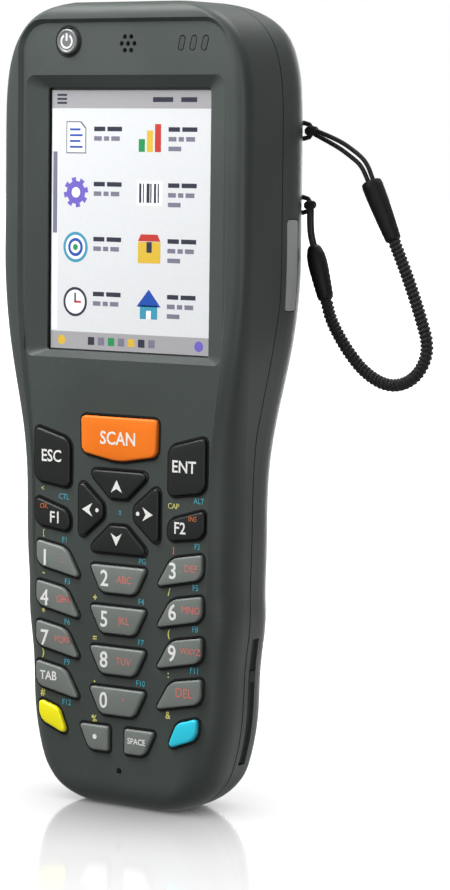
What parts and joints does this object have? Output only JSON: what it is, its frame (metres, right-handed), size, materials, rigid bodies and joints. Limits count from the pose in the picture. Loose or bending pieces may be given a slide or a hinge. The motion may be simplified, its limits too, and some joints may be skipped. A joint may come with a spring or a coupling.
{
  "type": "portable barcode data terminal",
  "caption": "Handheld barcode terminal: waisted charcoal case with recessed touch screen, sprung keypad, side triggers, rear battery door and a looped corded tether.",
  "frame": {"origin": "on the surface that the terminal stands on, under the middle of its case (tether left out)", "axes": "+Z along its length towards the scan window, -Y out of the face with the screen and keys, +X to the right as the user looks at that face"},
  "size_m": [0.0834, 0.0269, 0.1527],
  "materials": {
    "body_plastic": "fine-textured charcoal moulded plastic",
    "number_key": "mid-grey satin key plastic",
    "black_key": "satin black key plastic",
    "orange_key": "orange moulded key",
    "yellow_key": "yellow moulded key",
    "blue_key": "cyan moulded key",
    "silver": "silver lacquer",
    "trigger_grey": "light grey soft plastic",
    "rubber": "black elastomer",
    "screw_steel": "plated steel",
    "screen_glass": "clear touch panel",
    "dark_glass": "dark red scan window",
    "module_black": "black moulded or metal-cased module",
    "board": "green circuit board",
    "light_pipe": "smoked light pipe",
    "battery_wrap": "dark battery sleeve",
    "contact_gold": "gold-plated contacts",
    "tether_black": "black polymer cord",
    "tether_rubber": "black shrunk sleeve"
  },
  "bodies": {
    "terminal": {"backup_cell": "screw_steel", "battery_pack": "battery_wrap", "card_socket": "screw_steel", "dock_connector": "contact_gold", "earpiece": "module_black", "front_housing": "body_plastic", "housing_screws": "screw_steel", "housing_seal": "rubber", "keypad_board": "board", "keypad_mat": "rubber", "lcd_cushion": "rubber", "lcd_module": "module_black", "led_light_pipes": "light_pipe", "main_board": "board", "memory_card": "module_black", "microphone": "screw_steel", "rear_housing": "body_plastic", "rear_speaker": "module_black", "scan_engine": "module_black", "scan_window": "dark_glass", "screen_gasket": "rubber", "switches": "module_black", "tether_cord": "tether_black", "tether_lower_sleeve": "tether_rubber", "tether_lower_string": "tether_black", "tether_upper_sleeve": "tether_rubber", "tether_upper_string": "tether_black", "touch_glass": "screen_glass"},
    "key_0_body": {"key_0": "number_key"},
    "key_1_body": {"key_1": "number_key"},
    "key_2_body": {"key_2": "number_key"},
    "key_3_body": {"key_3": "number_key"},
    "key_4_body": {"key_4": "number_key"},
    "key_5_body": {"key_5": "number_key"},
    "key_6_body": {"key_6": "number_key"},
    "key_7_body": {"key_7": "number_key"},
    "key_8_body": {"key_8": "number_key"},
    "key_9_body": {"key_9": "number_key"},
    "key_blue_body": {"key_blue": "blue_key"},
    "key_delete_body": {"key_delete": "number_key"},
    "key_down_body": {"key_down": "black_key"},
    "key_enter_body": {"key_enter": "black_key"},
    "key_escape_body": {"key_escape": "black_key"},
    "key_f1_body": {"key_f1": "black_key"},
    "key_f2_body": {"key_f2": "black_key"},
    "key_left_body": {"key_left": "black_key"},
    "key_point_body": {"key_point": "number_key"},
    "key_right_body": {"key_right": "black_key"},
    "key_scan_body": {"key_scan": "orange_key"},
    "key_space_body": {"key_space": "number_key"},
    "key_tab_body": {"key_tab": "number_key"},
    "key_up_body": {"key_up": "black_key"},
    "key_yellow_body": {"key_yellow": "yellow_key"},
    "power_button_body": {"power_button": "silver"},
    "left_trigger_body": {"side_trigger_left": "trigger_grey"},
    "right_trigger_body": {"side_trigger_right": "trigger_grey"},
    "card_cover_body": {"card_cover": "rubber"},
    "battery_door_body": {"battery_door": "body_plastic"},
    "latch_body": {"battery_door_latch": "trigger_grey"}
  },
  "joints": [
    {"name": "key_0_press", "type": "slide", "parent": "terminal", "child": "key_0_body", "axis": [0, 1, 0], "range_m": [0, 0.0006], "stiffness_N_per_m": 400},
    {"name": "key_1_press", "type": "slide", "parent": "terminal", "child": "key_1_body", "axis": [0, 1, 0], "range_m": [0, 0.0006], "stiffness_N_per_m": 400},
    {"name": "key_2_press", "type": "slide", "parent": "terminal", "child": "key_2_body", "axis": [0, 1, 0], "range_m": [0, 0.0006], "stiffness_N_per_m": 400},
    {"name": "key_3_press", "type": "slide", "parent": "terminal", "child": "key_3_body", "axis": [0, 1, 0], "range_m": [0, 0.0006], "stiffness_N_per_m": 400},
    {"name": "key_4_press", "type": "slide", "parent": "terminal", "child": "key_4_body", "axis": [0, 1, 0], "range_m": [0, 0.0006], "stiffness_N_per_m": 400},
    {"name": "key_5_press", "type": "slide", "parent": "terminal", "child": "key_5_body", "axis": [0, 1, 0], "range_m": [0, 0.0006], "stiffness_N_per_m": 400},
    {"name": "key_6_press", "type": "slide", "parent": "terminal", "child": "key_6_body", "axis": [0, 1, 0], "range_m": [0, 0.0006], "stiffness_N_per_m": 400},
    {"name": "key_7_press", "type": "slide", "parent": "terminal", "child": "key_7_body", "axis": [0, 1, 0], "range_m": [0, 0.0006], "stiffness_N_per_m": 400},
    {"name": "key_8_press", "type": "slide", "parent": "terminal", "child": "key_8_body", "axis": [0, 1, 0], "range_m": [0, 0.0006], "stiffness_N_per_m": 400},
    {"name": "key_9_press", "type": "slide", "parent": "terminal", "child": "key_9_body", "axis": [0, 1, 0], "range_m": [0, 0.0006], "stiffness_N_per_m": 400},
    {"name": "key_blue_press", "type": "slide", "parent": "terminal", "child": "key_blue_body", "axis": [0, 1, 0], "range_m": [0, 0.0006], "stiffness_N_per_m": 400},
    {"name": "key_delete_press", "type": "slide", "parent": "terminal", "child": "key_delete_body", "axis": [0, 1, 0], "range_m": [0, 0.0006], "stiffness_N_per_m": 400},
    {"name": "key_down_press", "type": "slide", "parent": "terminal", "child": "key_down_body", "axis": [0, 1, 0], "range_m": [0, 0.0006], "stiffness_N_per_m": 400},
    {"name": "key_enter_press", "type": "slide", "parent": "terminal", "child": "key_enter_body", "axis": [0, 1, 0], "range_m": [0, 0.0006], "stiffness_N_per_m": 400},
    {"name": "key_escape_press", "type": "slide", "parent": "terminal", "child": "key_escape_body", "axis": [0, 1, 0], "range_m": [0, 0.0006], "stiffness_N_per_m": 400},
    {"name": "key_f1_press", "type": "slide", "parent": "terminal", "child": "key_f1_body", "axis": [0, 1, 0], "range_m": [0, 0.0006], "stiffness_N_per_m": 400},
    {"name": "key_f2_press", "type": "slide", "parent": "terminal", "child": "key_f2_body", "axis": [0, 1, 0], "range_m": [0, 0.0006], "stiffness_N_per_m": 400},
    {"name": "key_left_press", "type": "slide", "parent": "terminal", "child": "key_left_body", "axis": [0, 1, 0], "range_m": [0, 0.0006], "stiffness_N_per_m": 400},
    {"name": "key_point_press", "type": "slide", "parent": "terminal", "child": "key_point_body", "axis": [0, 1, 0], "range_m": [0, 0.0006], "stiffness_N_per_m": 400},
    {"name": "key_right_press", "type": "slide", "parent": "terminal", "child": "key_right_body", "axis": [0, 1, 0], "range_m": [0, 0.0006], "stiffness_N_per_m": 400},
    {"name": "key_scan_press", "type": "slide", "parent": "terminal", "child": "key_scan_body", "axis": [0, 1, 0], "range_m": [0, 0.0006], "stiffness_N_per_m": 400},
    {"name": "key_space_press", "type": "slide", "parent": "terminal", "child": "key_space_body", "axis": [0, 1, 0], "range_m": [0, 0.0006], "stiffness_N_per_m": 400},
    {"name": "key_tab_press", "type": "slide", "parent": "terminal", "child": "key_tab_body", "axis": [0, 1, 0], "range_m": [0, 0.0006], "stiffness_N_per_m": 400},
    {"name": "key_up_press", "type": "slide", "parent": "terminal", "child": "key_up_body", "axis": [0, 1, 0], "range_m": [0, 0.0006], "stiffness_N_per_m": 400},
    {"name": "key_yellow_press", "type": "slide", "parent": "terminal", "child": "key_yellow_body", "axis": [0, 1, 0], "range_m": [0, 0.0006], "stiffness_N_per_m": 400},
    {"name": "power_press", "type": "slide", "parent": "terminal", "child": "power_button_body", "axis": [0, 1, 0], "range_m": [0, 0.0006], "stiffness_N_per_m": 400},
    {"name": "left_trigger_press", "type": "slide", "parent": "terminal", "child": "left_trigger_body", "axis": [1, 0, 0], "range_m": [0, 0.0006], "stiffness_N_per_m": 500},
    {"name": "right_trigger_press", "type": "slide", "parent": "terminal", "child": "right_trigger_body", "axis": [-1, 0, 0], "range_m": [0, 0.0006], "stiffness_N_per_m": 500},
    {"name": "card_cover_pull", "type": "slide", "parent": "terminal", "child": "card_cover_body", "axis": [1, 0, 0], "range_m": [0, 0.008]},
    {"name": "battery_door_swing", "type": "hinge", "parent": "terminal", "child": "battery_door_body", "pos_m": [0, 0.0072, 0.02125], "axis": [-1, 0, 0], "range_deg": [0, 80]},
    {"name": "door_latch_slide", "type": "slide", "parent": "battery_door_body", "child": "latch_body", "axis": [0, 0, -1], "range_m": [0, 0.0025]}
  ]
}
